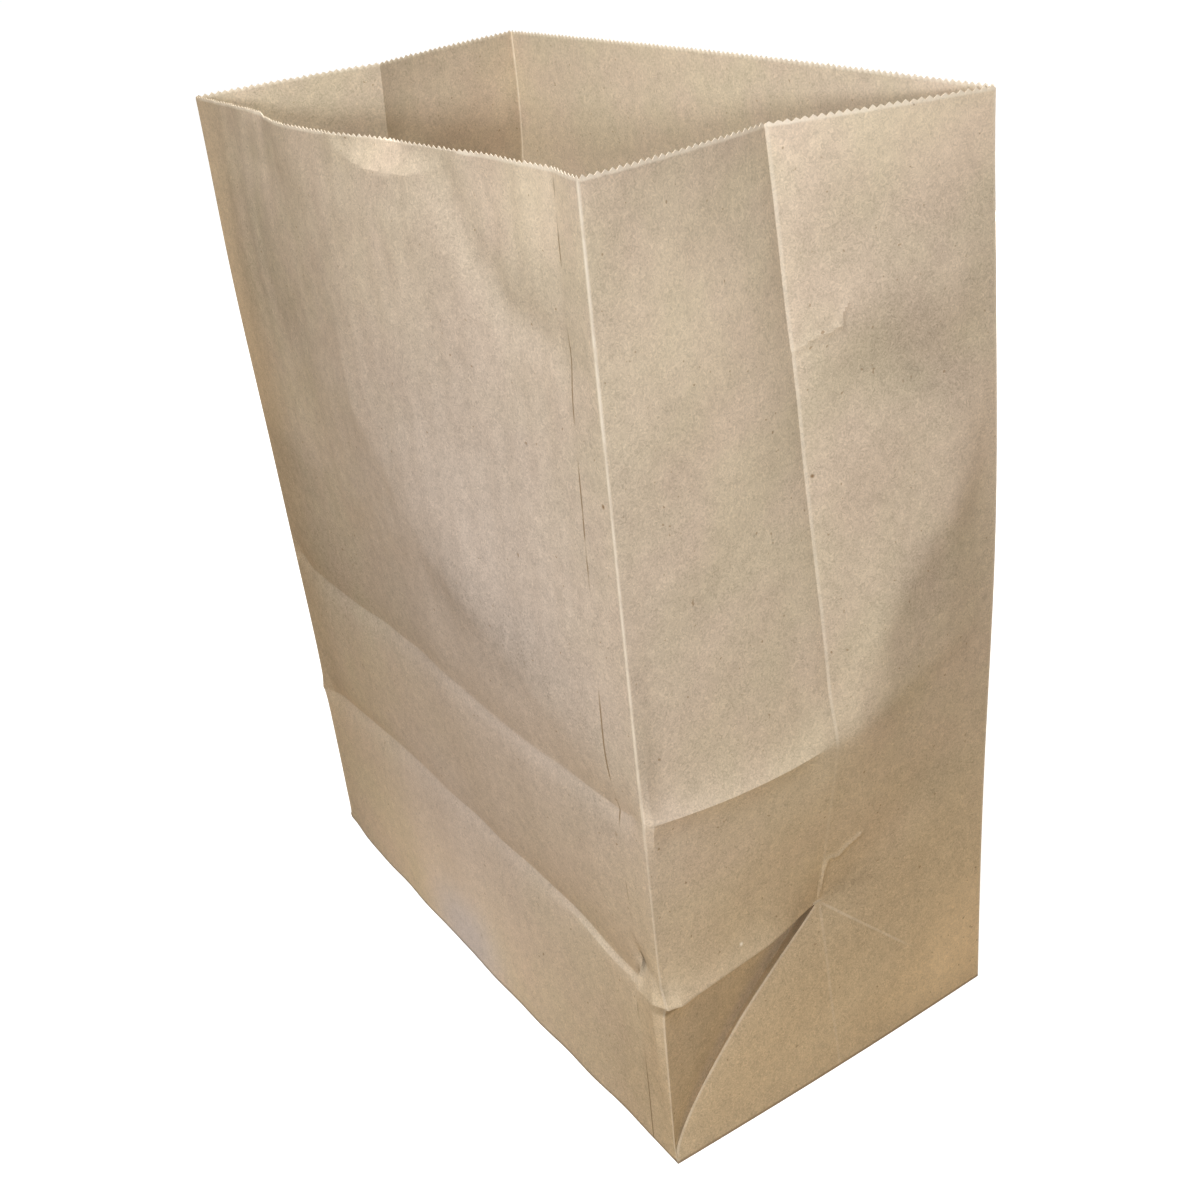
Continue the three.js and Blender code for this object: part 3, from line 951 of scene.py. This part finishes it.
FRONT_CORNER = BAG_WIDTH
GUSSET_MIDDLE = BAG_WIDTH + HALF_DEPTH
BACK_CORNER = BAG_WIDTH + BAG_DEPTH
INNER_CORNER = 2 * BAG_WIDTH + BAG_DEPTH
OVER_RIM = BAG_HEIGHT + 20
UNDER_FOOT = -10
worn_lines = (
    ("u", FRONT_CORNER - 0.9, 1.6, 320, OVER_RIM, 0.95),
    ("u", FRONT_CORNER - 0.7, 1.25, 160, 340, 0.75),
    ("u", FRONT_CORNER - 0.4, 1.0, UNDER_FOOT, 180, 0.4),
    ("u", GUSSET_MIDDLE + 0.7, 1.0, HIGH_FOLD - 8, OVER_RIM, 0.3),
    ("u", GUSSET_MIDDLE + 0.7, 1.0, UNDER_FOOT, HIGH_FOLD, 0.13),
    ("u", BACK_CORNER, 1.2, UNDER_FOOT, OVER_RIM, 0.3),
    ("u", INNER_CORNER, 1.2, 150, OVER_RIM, 0.6),
    ("u-v", FRONT_CORNER + 0.6, 1.1, UNDER_FOOT, LOW_FOLD + 4, 0.4),
    ("u+v", BACK_CORNER, 1.2, 40, LOW_FOLD + 4, 0.25),
    ("v", BAG_HEIGHT, 1.7, -1, 2 * BACK_CORNER, 0.65),
)
# Lines of painted shadow: contact shadow at the foot, shadow under the gusset's low fold, shadow in the gap
# beside the lap's edge.
painted_shadow_lines = (
    ("v", 0, 1.8, -1, 2 * BACK_CORNER, 0.6),
    ("v", LOW_FOLD - 2.5, 3.6, FRONT_CORNER - 9, GUSSET_MIDDLE - 18, 0.55),
    ("u", LAP_EDGE - 3.6, 1.7, 64, 98, 0.65),
)
# The second count is of the lines of painted shadow.
print("Worn lines:", len(worn_lines), "and soiled lines:", len(painted_shadow_lines))

# %% [markdown]
# ## Painted light and shade
#
# The sheet's tone is painted lighter where light falls on it and darker where shade falls, and some places
# get the tint of the light on them: cool grey on the front, a darker tan on its shaded left edge, a pale
# painted reflection at its foot, and a warm deep tone where the foot lies in shade. Each mark is a soft
# oval on the flat sheet, with its middle, its radii and what it changes. Their sum is stored with the mesh
# as an attribute, so that the material only has to read it, which renders far faster than a node for
# every mark.


# %% Painted light and shade marks
def oval(place, middle, radii):
    """1 at a place on the sheet, fading softly to 0 on an oval round it."""
    inward = np.clip(1 - np.hypot(*((place - middle) / radii).T), 0, 1)
    return inward ** 3 * (inward * (6 * inward - 15) + 10)


# Tints of painted light: the cool light on the front, the shaded left edge, the shaded foot.
painted_light_tints = (
    ((220, 220), (200, 250), KRAFT_COOL_LIGHT),
    ((0, 260), (65, 330), KRAFT_SHADED_EDGE),
    ((150, 80), (120, 95), KRAFT_COOL_LIGHT),
    # Painted reflection at the foot of the front.
    ((150, 10), (60, 45), KRAFT_PAINTED_REFLECTION),
    ((GUSSET_MIDDLE + 10, 0), (260, 250), KRAFT_WARM_SHADE),
)
# Painted shade and painted light on the front, each a soft oval.
painted_shading_on_front = (
    ((-10, 180), (150, 115), -0.2),
    ((45, 345), (75, 75), -0.1),
    ((100, 195), (150, 60), -0.13),
    ((50, 243), (60, 30), -0.13),
    ((92, 318), (38, 38), -0.08),
    ((252, 224), (98, 36), -0.15),
    ((300, 163), (40, 14), -0.08),
    ((185, 360), (60, 42), 0.1),
    ((4, 345), (22, 110), 0.15),
    ((135, 12), (165, 98), 0.34),
    ((296, 402), (60, 34), 0.2),
    ((300, 35), (60, 60), -0.1),
    ((315, 101), (4.5, 9), -0.5),
    ((14, 105), (34, 34), -0.13),
    ((14, 238), (34, 34), -0.08),
    ((205, 240), (45, 32), -0.08),
    ((308, 204), (40, 22), -0.08),
)
# Painted shade and painted light on the gussets.
painted_shading_on_gussets = (
    ((GUSSET_MIDDLE - 40, 365), (80, 90), 0.1),
    ((BACK_CORNER - 25, 412), (110, 48), 0.26),
    ((FRONT_CORNER + 55, 300), (30, 50), 0.09),
    ((FRONT_CORNER + 138, 232), (32, 34), -0.12),
    ((FRONT_CORNER + 122, 200), (20, 20), -0.07),
    ((FRONT_CORNER + 35, 362), (45, 45), 0.07),
    ((FRONT_CORNER + 140, 15), (45, 35), 0.1),
    ((INNER_CORNER + 120, 395), (60, 45), -0.03),
    ((FRONT_CORNER + 145, 130), (26, 26), -0.1),
    ((FRONT_CORNER + 150, 310), (30, 22), -0.1),
    ((BACK_CORNER - 5, 25), (55, 60), 0.24),
    ((GUSSET_MIDDLE + 20, 75), (75, 70), -0.1),
    ((GUSSET_MIDDLE + 47, 330), (32, 34), -0.12),
    ((GUSSET_MIDDLE + 21, 182), (18, 12), -0.07),
    ((GUSSET_MIDDLE + 17, 91), (24, 14), -0.1),
    ((BACK_CORNER - 6, 277), (22, 50), 0.1),
    ((FRONT_CORNER + 1, 95), (3, 8), -0.22),
    ((FRONT_CORNER + 26, 52), (26, 40), -0.12),
)
mesh = sack.data
on_sheet = np.empty(len(mesh.loops) * 2)
mesh.uv_layers["sheet"].data.foreach_get("uv", on_sheet)
on_sheet = on_sheet.reshape(-1, 2) / MM
# Sum of the painted shade and light, stored as an attribute.
painted_shading = np.zeros(len(on_sheet))
for middle, radii, change in painted_shading_on_front + painted_shading_on_gussets:
    painted_shading += change * oval(on_sheet, middle, radii)
mesh.attributes.new("painted_shading", "FLOAT", "CORNER").data.foreach_set("value", painted_shading)
# The tints of painted light are stored as a second attribute.
light_tinted = np.zeros((len(on_sheet), 4))
for middle, radii, hex_colour in painted_light_tints:
    light_tinted += oval(on_sheet, middle, radii)[:, None] * (np.array(linear(hex_colour)) - light_tinted)
light_tinted[:, :3] /= np.maximum(light_tinted[:, 3:], TINY)
mesh.attributes.new("painted_light_tint", "FLOAT_COLOR", "CORNER").data.foreach_set("color", light_tinted.ravel())
# The painted shade and light change the tone by this much.
print("Handling changes the tone by", painted_shading.min().round(2), "to", painted_shading.max().round(2))

# %% [markdown]
# ## Kraft paper
#
# Unbleached kraft is matt and a little uneven: long pulp fibres make it mottled at about a millimetre,
# and the whole sheet drifts between rosy and yellow. The material is built in layers, and each layer is a
# function that takes the colour so far and returns the next. The first one gives the bare sheet, with the
# painted light and shade and the tints of painted light laid on it.

# %% Kraft paper: bare sheet
FIBRE_WIDTH = 1.7
FIBRE_CONTRAST = 0.26
CLOUD_WIDTH = 6
CLOUD_CONTRAST = 0.08
HUE_WIDTH = 30


def bare_sheet(tree, place, fibres):
    """The sheet's drifting hue and tints of painted light, with the tone of its fibres, of slower clouds and
    of painted light and shade.
    """
    hues = add_node(tree, "ShaderNodeTexNoise", {
        "Vector": place, "Scale": 1 / (HUE_WIDTH * MM), "Detail": 2.0,
    })
    hue = add_node(tree, "ShaderNodeMapRange", {"Value": hues.outputs[0], "From Min": 0.35, "From Max": 0.65})
    colour = add_node(tree, "ShaderNodeMix", {
        0: hue.outputs[0], 6: linear(KRAFT_ROSY), 7: linear(KRAFT_YELLOW),
    }, data_type="RGBA")
    # Painted light: the tint of cooler light, of shade and of a reflection, read from the mesh.
    light_tint = add_node(tree, "ShaderNodeAttribute", attribute_name="painted_light_tint")
    colour = add_node(tree, "ShaderNodeMix", {
        0: light_tint.outputs["Alpha"], 6: colour.outputs[2], 7: light_tint.outputs["Color"],
    }, data_type="RGBA")
    fine = add_node(tree, "ShaderNodeMapRange", {
        "Value": fibres, "From Min": 0.25, "From Max": 0.75,
        "To Min": -FIBRE_CONTRAST, "To Max": FIBRE_CONTRAST,
    })
    clouds = add_node(tree, "ShaderNodeTexNoise", {
        "Vector": place, "Scale": 1 / (CLOUD_WIDTH * MM), "Detail": 3.0,
    })
    slow = add_node(tree, "ShaderNodeMapRange", {
        "Value": clouds.outputs[0], "From Min": 0.25, "From Max": 0.75,
        "To Min": 1 - CLOUD_CONTRAST, "To Max": 1 + CLOUD_CONTRAST,
    })
    tone = add_node(tree, "ShaderNodeMath", {0: fine.outputs[0], 1: slow.outputs[0]}, operation="ADD")
    # Painted shade and light, read from the mesh.
    painted_shading_marks = add_node(tree, "ShaderNodeAttribute", attribute_name="painted_shading")
    tone = add_node(tree, "ShaderNodeMath", {0: tone.outputs[0], 1: painted_shading_marks.outputs["Fac"]}, operation="ADD")
    toned = add_node(tree, "ShaderNodeVectorMath", {0: colour.outputs[2], "Scale": tone.outputs[0]},
                     operation="SCALE")
    return toned.outputs[0]


print("Fibres", FIBRE_WIDTH, "mm wide, clouds", CLOUD_WIDTH, "mm, drift of hue", HUE_WIDTH, "mm")

# %% [markdown]
# ## Flecks
#
# Bits of bark stay in the pulp. Noise that is cut off near its peaks gives a few small dark flecks in each
# square centimetre. Three stray ones are larger than the rest and have a place of their own, and one of
# them is pale.

# %% Kraft paper: flecks
FLECK_SPACING = 2.4
FLECK_CUT = (0.74, 0.80)
FLECK_STRENGTH = 0.6
stray_flecks = (
    ((FRONT_CORNER + 42, 96), 1.4, KRAFT_WORN),
    ((FRONT_CORNER + 91, 287), 1.4, FLECK_DARK),
    ((FRONT_CORNER - 6, 304), 1.6, FLECK_DARK),
)


def with_flecks(tree, colour, place, sheet):
    """The colour with dark flecks of bark all over, and the stray ones at their places on the sheet."""
    specks = add_node(tree, "ShaderNodeTexNoise", {
        "Vector": place, "Scale": 1 / (FLECK_SPACING * MM), "Detail": 1.0,
    })
    speck = add_node(tree, "ShaderNodeMapRange", {
        "Value": specks.outputs[0], "From Min": FLECK_CUT[0], "From Max": FLECK_CUT[1],
        "To Max": FLECK_STRENGTH,
    })
    flecked = add_node(tree, "ShaderNodeMix", {0: speck.outputs[0], 6: colour, 7: linear(FLECK_DARK)},
                       data_type="RGBA")
    for middle, radius, hex_colour in stray_flecks:
        away = add_node(tree, "ShaderNodeVectorMath", {0: sheet, 1: (middle[0] * MM, middle[1] * MM, 0)},
                        operation="DISTANCE")
        spot = add_node(tree, "ShaderNodeMapRange", {
            "Value": away.outputs["Value"], "From Max": radius * MM, "To Min": 1.0, "To Max": 0.0,
        }, interpolation_type="SMOOTHERSTEP")
        flecked = add_node(tree, "ShaderNodeMix", {
            0: spot.outputs[0], 6: flecked.outputs[2], 7: linear(hex_colour),
        }, data_type="RGBA")
    return flecked.outputs[2]


print("Stray flecks:", len(stray_flecks))

# %% [markdown]
# ## Wear, seam and painted shadow
#
# Where paper is folded hard its fibres break and scatter more light, so folds and cut edges wear to a paler
# line that comes and goes. Along the open edge of the lap a fine dark line with gaps in it is painted: the
# shadow of the narrow gap under that edge, drawn about a millimetre wide so that it can be seen. Shadow is
# also painted along the standing foot, under the gusset's low fold and beside the lap's edge there.

# %% Kraft paper: lines
WEAR_BREAK = 5
LEAST_WEAR = 0.6
SEAM_BREAK = 45
SEAM_LEAN = 0.011
# The line where the painted shadow of the lap's edge lies.
seam_line = ("lean", LAP_EDGE + 0.8, 0.6, UNDER_FOOT, BAG_HEIGHT, 1.0)


def with_wear(tree, colour, place, ways):
    """The colour with pale lines on the folds and the cut edge, broken up as wear is."""
    unworn = add_node(tree, "ShaderNodeValue")
    unworn.outputs[0].default_value = 0.0
    worn = unworn
    for line in worn_lines:
        worn = add_node(tree, "ShaderNodeMath", {0: worn.outputs[0], 1: fold_line(tree, ways, line)},
                        operation="MAXIMUM")
    breaks = add_node(tree, "ShaderNodeTexNoise", {
        "Vector": place, "Scale": 1 / (WEAR_BREAK * MM), "Detail": 3.0,
    })
    broken = add_node(tree, "ShaderNodeMapRange", {
        "Value": breaks.outputs[0], "From Min": 0.3, "From Max": 0.6, "To Min": LEAST_WEAR, "To Max": 1.0,
    })
    wear = add_node(tree, "ShaderNodeMath", {0: worn.outputs[0], 1: broken.outputs[0]}, operation="MULTIPLY")
    rubbed = add_node(tree, "ShaderNodeMix", {0: wear.outputs[0], 6: colour, 7: linear(KRAFT_WORN)},
                      data_type="RGBA")
    return rubbed.outputs[2]


def with_seam(tree, colour, ways):
    """The colour with the painted shadow of the gap along the lap's edge, which shows in some places and not
    in others.
    """
    gaps = add_node(tree, "ShaderNodeTexNoise", {
        "W": ways["v"], "Scale": 1 / (SEAM_BREAK * MM), "Detail": 3.0,
    }, noise_dimensions="1D")
    shown = add_node(tree, "ShaderNodeMapRange", {
        "Value": gaps.outputs[0], "From Min": 0.46, "From Max": 0.56,
    })
    dark = add_node(tree, "ShaderNodeMath", {0: fold_line(tree, ways, seam_line), 1: shown.outputs[0]},
                    operation="MULTIPLY")
    # Painted shadow along the lap's edge.
    seamed = add_node(tree, "ShaderNodeMix", {0: dark.outputs[0], 6: colour, 7: linear(SEAM_SHADOW)},
                      data_type="RGBA")
    return seamed.outputs[2]


def with_painted_shadow(tree, colour, ways):
    """The colour with painted shadow on the lines of painted shadow."""
    for line in painted_shadow_lines:
        # Painted shadow along each line.
        shadowed = add_node(tree, "ShaderNodeMix", {
            0: fold_line(tree, ways, line), 6: colour, 7: linear(KRAFT_PAINTED_SHADOW),
        }, data_type="RGBA")
        colour = shadowed.outputs[2]
    return colour


print("Seam line", seam_line[2] * 2, "mm wide at most")

# %% [markdown]
# ## The finished paper
#
# The layers are laid over each other and given the matt finish of uncoated paper: a high roughness, a weak
# reflection, and a slight bump from the same fibres that colour it. The fibres are noise drawn in swirls,
# coarser than real ones so that they show in the render.

# %% Kraft paper
KRAFT_ROUGHNESS = 0.85
KRAFT_REFLECTION = 0.25
FIBRE_BUMP = 0.35
FIBRE_HEIGHT = 0.12


def kraft_paper():
    """Matt brown paper with fibres, flecks and worn folds, with painted light and shade, and painted shadow
    at the lap seam, the foot and the low fold.
    """
    material = bpy.data.materials.new("kraft_paper")
    material.use_nodes = True
    tree = material.node_tree
    shader = tree.nodes["Principled BSDF"]
    shader.inputs["Roughness"].default_value = KRAFT_ROUGHNESS
    shader.inputs["Specular IOR Level"].default_value = KRAFT_REFLECTION
    place = add_node(tree, "ShaderNodeTexCoord").outputs["Object"]
    sheet = add_node(tree, "ShaderNodeUVMap", uv_map="sheet").outputs["UV"]
    parts = add_node(tree, "ShaderNodeSeparateXYZ", {0: sheet})
    u, v = parts.outputs["X"], parts.outputs["Y"]
    slant_up = add_node(tree, "ShaderNodeMath", {0: u, 1: v}, operation="SUBTRACT")
    slant_down = add_node(tree, "ShaderNodeMath", {0: u, 1: v}, operation="ADD")
    leaning = add_node(tree, "ShaderNodeMath", {0: v, 1: SEAM_LEAN, 2: u}, operation="MULTIPLY_ADD")
    ways = {
        "u": u, "v": v, "u-v": slant_up.outputs[0], "u+v": slant_down.outputs[0], "lean": leaning.outputs[0],
    }
    fibres = add_node(tree, "ShaderNodeTexNoise", {
        "Vector": place, "Scale": 1 / (FIBRE_WIDTH * MM), "Detail": 3.0, "Roughness": 0.6, "Distortion": 2.0,
    })
    # The sheet's colour, with painted light and shade and the tints of painted light.
    colour = bare_sheet(tree, place, fibres.outputs[0])
    colour = with_flecks(tree, colour, place, sheet)
    colour = with_wear(tree, colour, place, ways)
    colour = with_seam(tree, colour, ways)
    # Painted shadow at the foot, under the low fold and beside the lap's edge.
    colour = with_painted_shadow(tree, colour, ways)
    tree.links.new(colour, shader.inputs["Base Color"])
    bump = add_node(tree, "ShaderNodeBump", {
        "Height": fibres.outputs[0], "Strength": FIBRE_BUMP, "Distance": FIBRE_HEIGHT * MM,
    })
    tree.links.new(bump.outputs["Normal"], shader.inputs["Normal"])
    return material


paper = kraft_paper()
sack.data.materials.clear()
sack.data.materials.append(paper)
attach(sack, "root")
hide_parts("paper_bag")
print("Material:", paper.name, "with", len(paper.node_tree.nodes), "nodes")

# %% [markdown]
# ## Floor
#
# The sack stands on a plain white floor. To the camera the floor glows a little, so that it looks white
# right up to the sack and still shows a faint shadow. To the paper it is a dull tan, as a table top would
# be, so that the folds keep their shade and the foot gets a warm light from below.


# %% Floor
def seen_directly(tree):
    """1 for what is seen, straight or in a mirror or through glass, and 0 for light on its way."""
    rays = add_node(tree, "ShaderNodeLightPath").outputs
    mirrored = add_node(tree, "ShaderNodeMath", {0: rays["Is Glossy Ray"], 1: rays["Is Transmission Ray"]},
                        operation="MAXIMUM")
    seen = add_node(tree, "ShaderNodeMath", {0: rays["Is Camera Ray"], 1: mirrored.outputs[0]},
                    operation="MAXIMUM")
    return seen.outputs[0]


FLOOR_TAN = "#B8A073"
FLOOR_WHITE = "#BCBCBC"
FLOOR_SIZE = 60
GLOW_NEAR = 0.78
GLOW_RADII = (0.3, 1.0)

bpy.ops.object.select_all(action="DESELECT")
bpy.ops.mesh.primitive_plane_add(size=FLOOR_SIZE)
floor = bpy.context.object
floor.name = "floor"
floor_paint = bpy.data.materials.new("white_floor")
floor_paint.use_nodes = True
tree = floor_paint.node_tree
tree.nodes.remove(tree.nodes["Principled BSDF"])
dull = add_node(tree, "ShaderNodeBsdfDiffuse", {"Color": linear(FLOOR_TAN)})
white = add_node(tree, "ShaderNodeBsdfDiffuse", {"Color": linear(FLOOR_WHITE)})
spot = add_node(tree, "ShaderNodeTexCoord")
away = add_node(tree, "ShaderNodeVectorMath", {0: spot.outputs["Object"]}, operation="LENGTH")
shine = add_node(tree, "ShaderNodeMapRange", {
    "Value": away.outputs["Value"], "From Min": GLOW_RADII[0], "From Max": GLOW_RADII[1],
    "To Min": GLOW_NEAR, "To Max": 1.0,
})
glow = add_node(tree, "ShaderNodeEmission", {"Color": (1, 1, 1, 1), "Strength": shine.outputs["Result"]})
pale = add_node(tree, "ShaderNodeAddShader", {0: white.outputs[0], 1: glow.outputs[0]})
mixed = add_node(tree, "ShaderNodeMixShader", {
    0: seen_directly(tree), 1: dull.outputs[0], 2: pale.outputs[0],
})
tree.links.new(mixed.outputs[0], tree.nodes["Material Output"].inputs["Surface"])
floor.data.materials.append(floor_paint)
print("Floor:", FLOOR_SIZE, "m square, with", len(tree.nodes), "nodes")

# %% [markdown]
# ## Light
#
# Five soft lamps light the sack at a plain level. A small one close to the near corner falls off along the
# front panel, and gives the folds their crisp shade. A broad one high in front and a warm one above fill
# both visible sides. A weak one over the mouth stands for the light that a bright room sends into it, and
# one low behind keeps the hidden sides from going dark. The room is white where it is seen.


# %% Lamps and world
def area_lamp(name, place, aim, size, watts, colour):
    """A square soft lamp at a place in metres, turned to its aim."""
    data = bpy.data.lights.new(name, "AREA")
    data.size = size
    data.energy = watts
    data.color = colour
    lamp = bpy.data.objects.new(name, data)
    lamp.location = place
    lamp.rotation_euler = (Vector(aim) - Vector(place)).to_track_quat("-Z", "Y").to_euler()
    bpy.context.scene.collection.objects.link(lamp)


BAG_MIDDLE = (0, 0, 0.2)
FAR_INSIDE = (-0.07, 0.088, 0.36)
NEAR_WATTS = 2.2
ABOVE_WATTS = 28.0
HIGH_WATTS = 20.5
MOUTH_WATTS = 0.27
BEHIND_WATTS = 9.0
ROOM_LEVEL = 0.02
COOL = (0.95, 1.0, 1.06)
WARM = (1.1, 1.0, 0.85)
STRAW = (1, 0.985, 0.84)
area_lamp("near_lamp", (0.56, -0.35, 0.48), BAG_MIDDLE, 0.04, NEAR_WATTS, COOL)
area_lamp("lamp_above", (0, 0, 2.0), BAG_MIDDLE, 1.2, ABOVE_WATTS, WARM)
area_lamp("lamp_mouth", (-0.01, -0.07, 0.57), FAR_INSIDE, 0.1, MOUTH_WATTS, STRAW)
area_lamp("lamp_behind", (-0.9, 1.1, 0.24), BAG_MIDDLE, 0.4, BEHIND_WATTS, WARM)
area_lamp("lamp_high", (0.55, -1.1, 1.9), BAG_MIDDLE, 0.8, HIGH_WATTS, COOL)

world = bpy.data.worlds.new("studio")
bpy.context.scene.world = world
world.use_nodes = True
tree = world.node_tree
room = tree.nodes["Background"]
room.inputs["Color"].default_value = (1, 1, 1, 1)
level = add_node(tree, "ShaderNodeMapRange", {
    "Value": seen_directly(tree), "To Min": ROOM_LEVEL, "To Max": 1.0,
})
tree.links.new(level.outputs["Result"], room.inputs["Strength"])
bpy.context.scene.view_settings.view_transform = "Standard"
print("Lamps:", [lamp.name for lamp in bpy.data.lights])

# %% [markdown]
# ## Camera
#
# The camera stands close to the front corner and looks down into the mouth, slightly tilted. Its focal
# length is given in pixels of a picture 1190 wide, which a 36 mm sensor turns into a lens.

# %% Camera
PICTURE_WIDTH = 1190
SENSOR_WIDTH = 36
FOCAL_PIXELS = 1519.35
AZIMUTH = math.radians(59.755)
ELEVATION = math.radians(27.263)
ROLL = math.radians(-6.507)
DISTANCE = 732.27
TARGET = Vector((-0.02, -0.89, 178.24))

back = Vector((
    math.sin(AZIMUTH) * math.cos(ELEVATION),
    -math.cos(AZIMUTH) * math.cos(ELEVATION),
    math.sin(ELEVATION),
))
level_right = Vector((math.cos(AZIMUTH), math.sin(AZIMUTH), 0))
level_up = back.cross(level_right)
right = level_right * math.cos(ROLL) + level_up * math.sin(ROLL)
up = level_up * math.cos(ROLL) - level_right * math.sin(ROLL)
lens = bpy.data.cameras.new("camera")
lens.sensor_width = SENSOR_WIDTH
lens.lens = SENSOR_WIDTH * FOCAL_PIXELS / PICTURE_WIDTH
camera = bpy.data.objects.new("camera", lens)
turn = Matrix((right, up, back)).transposed().to_4x4()
camera.matrix_world = Matrix.Translation((TARGET + back * DISTANCE) * MM) @ turn
bpy.context.scene.collection.objects.link(camera)
bpy.context.scene.camera = camera
print("Camera at", [round(v, 3) for v in camera.location], "with a lens of", round(lens.lens, 1), "mm")
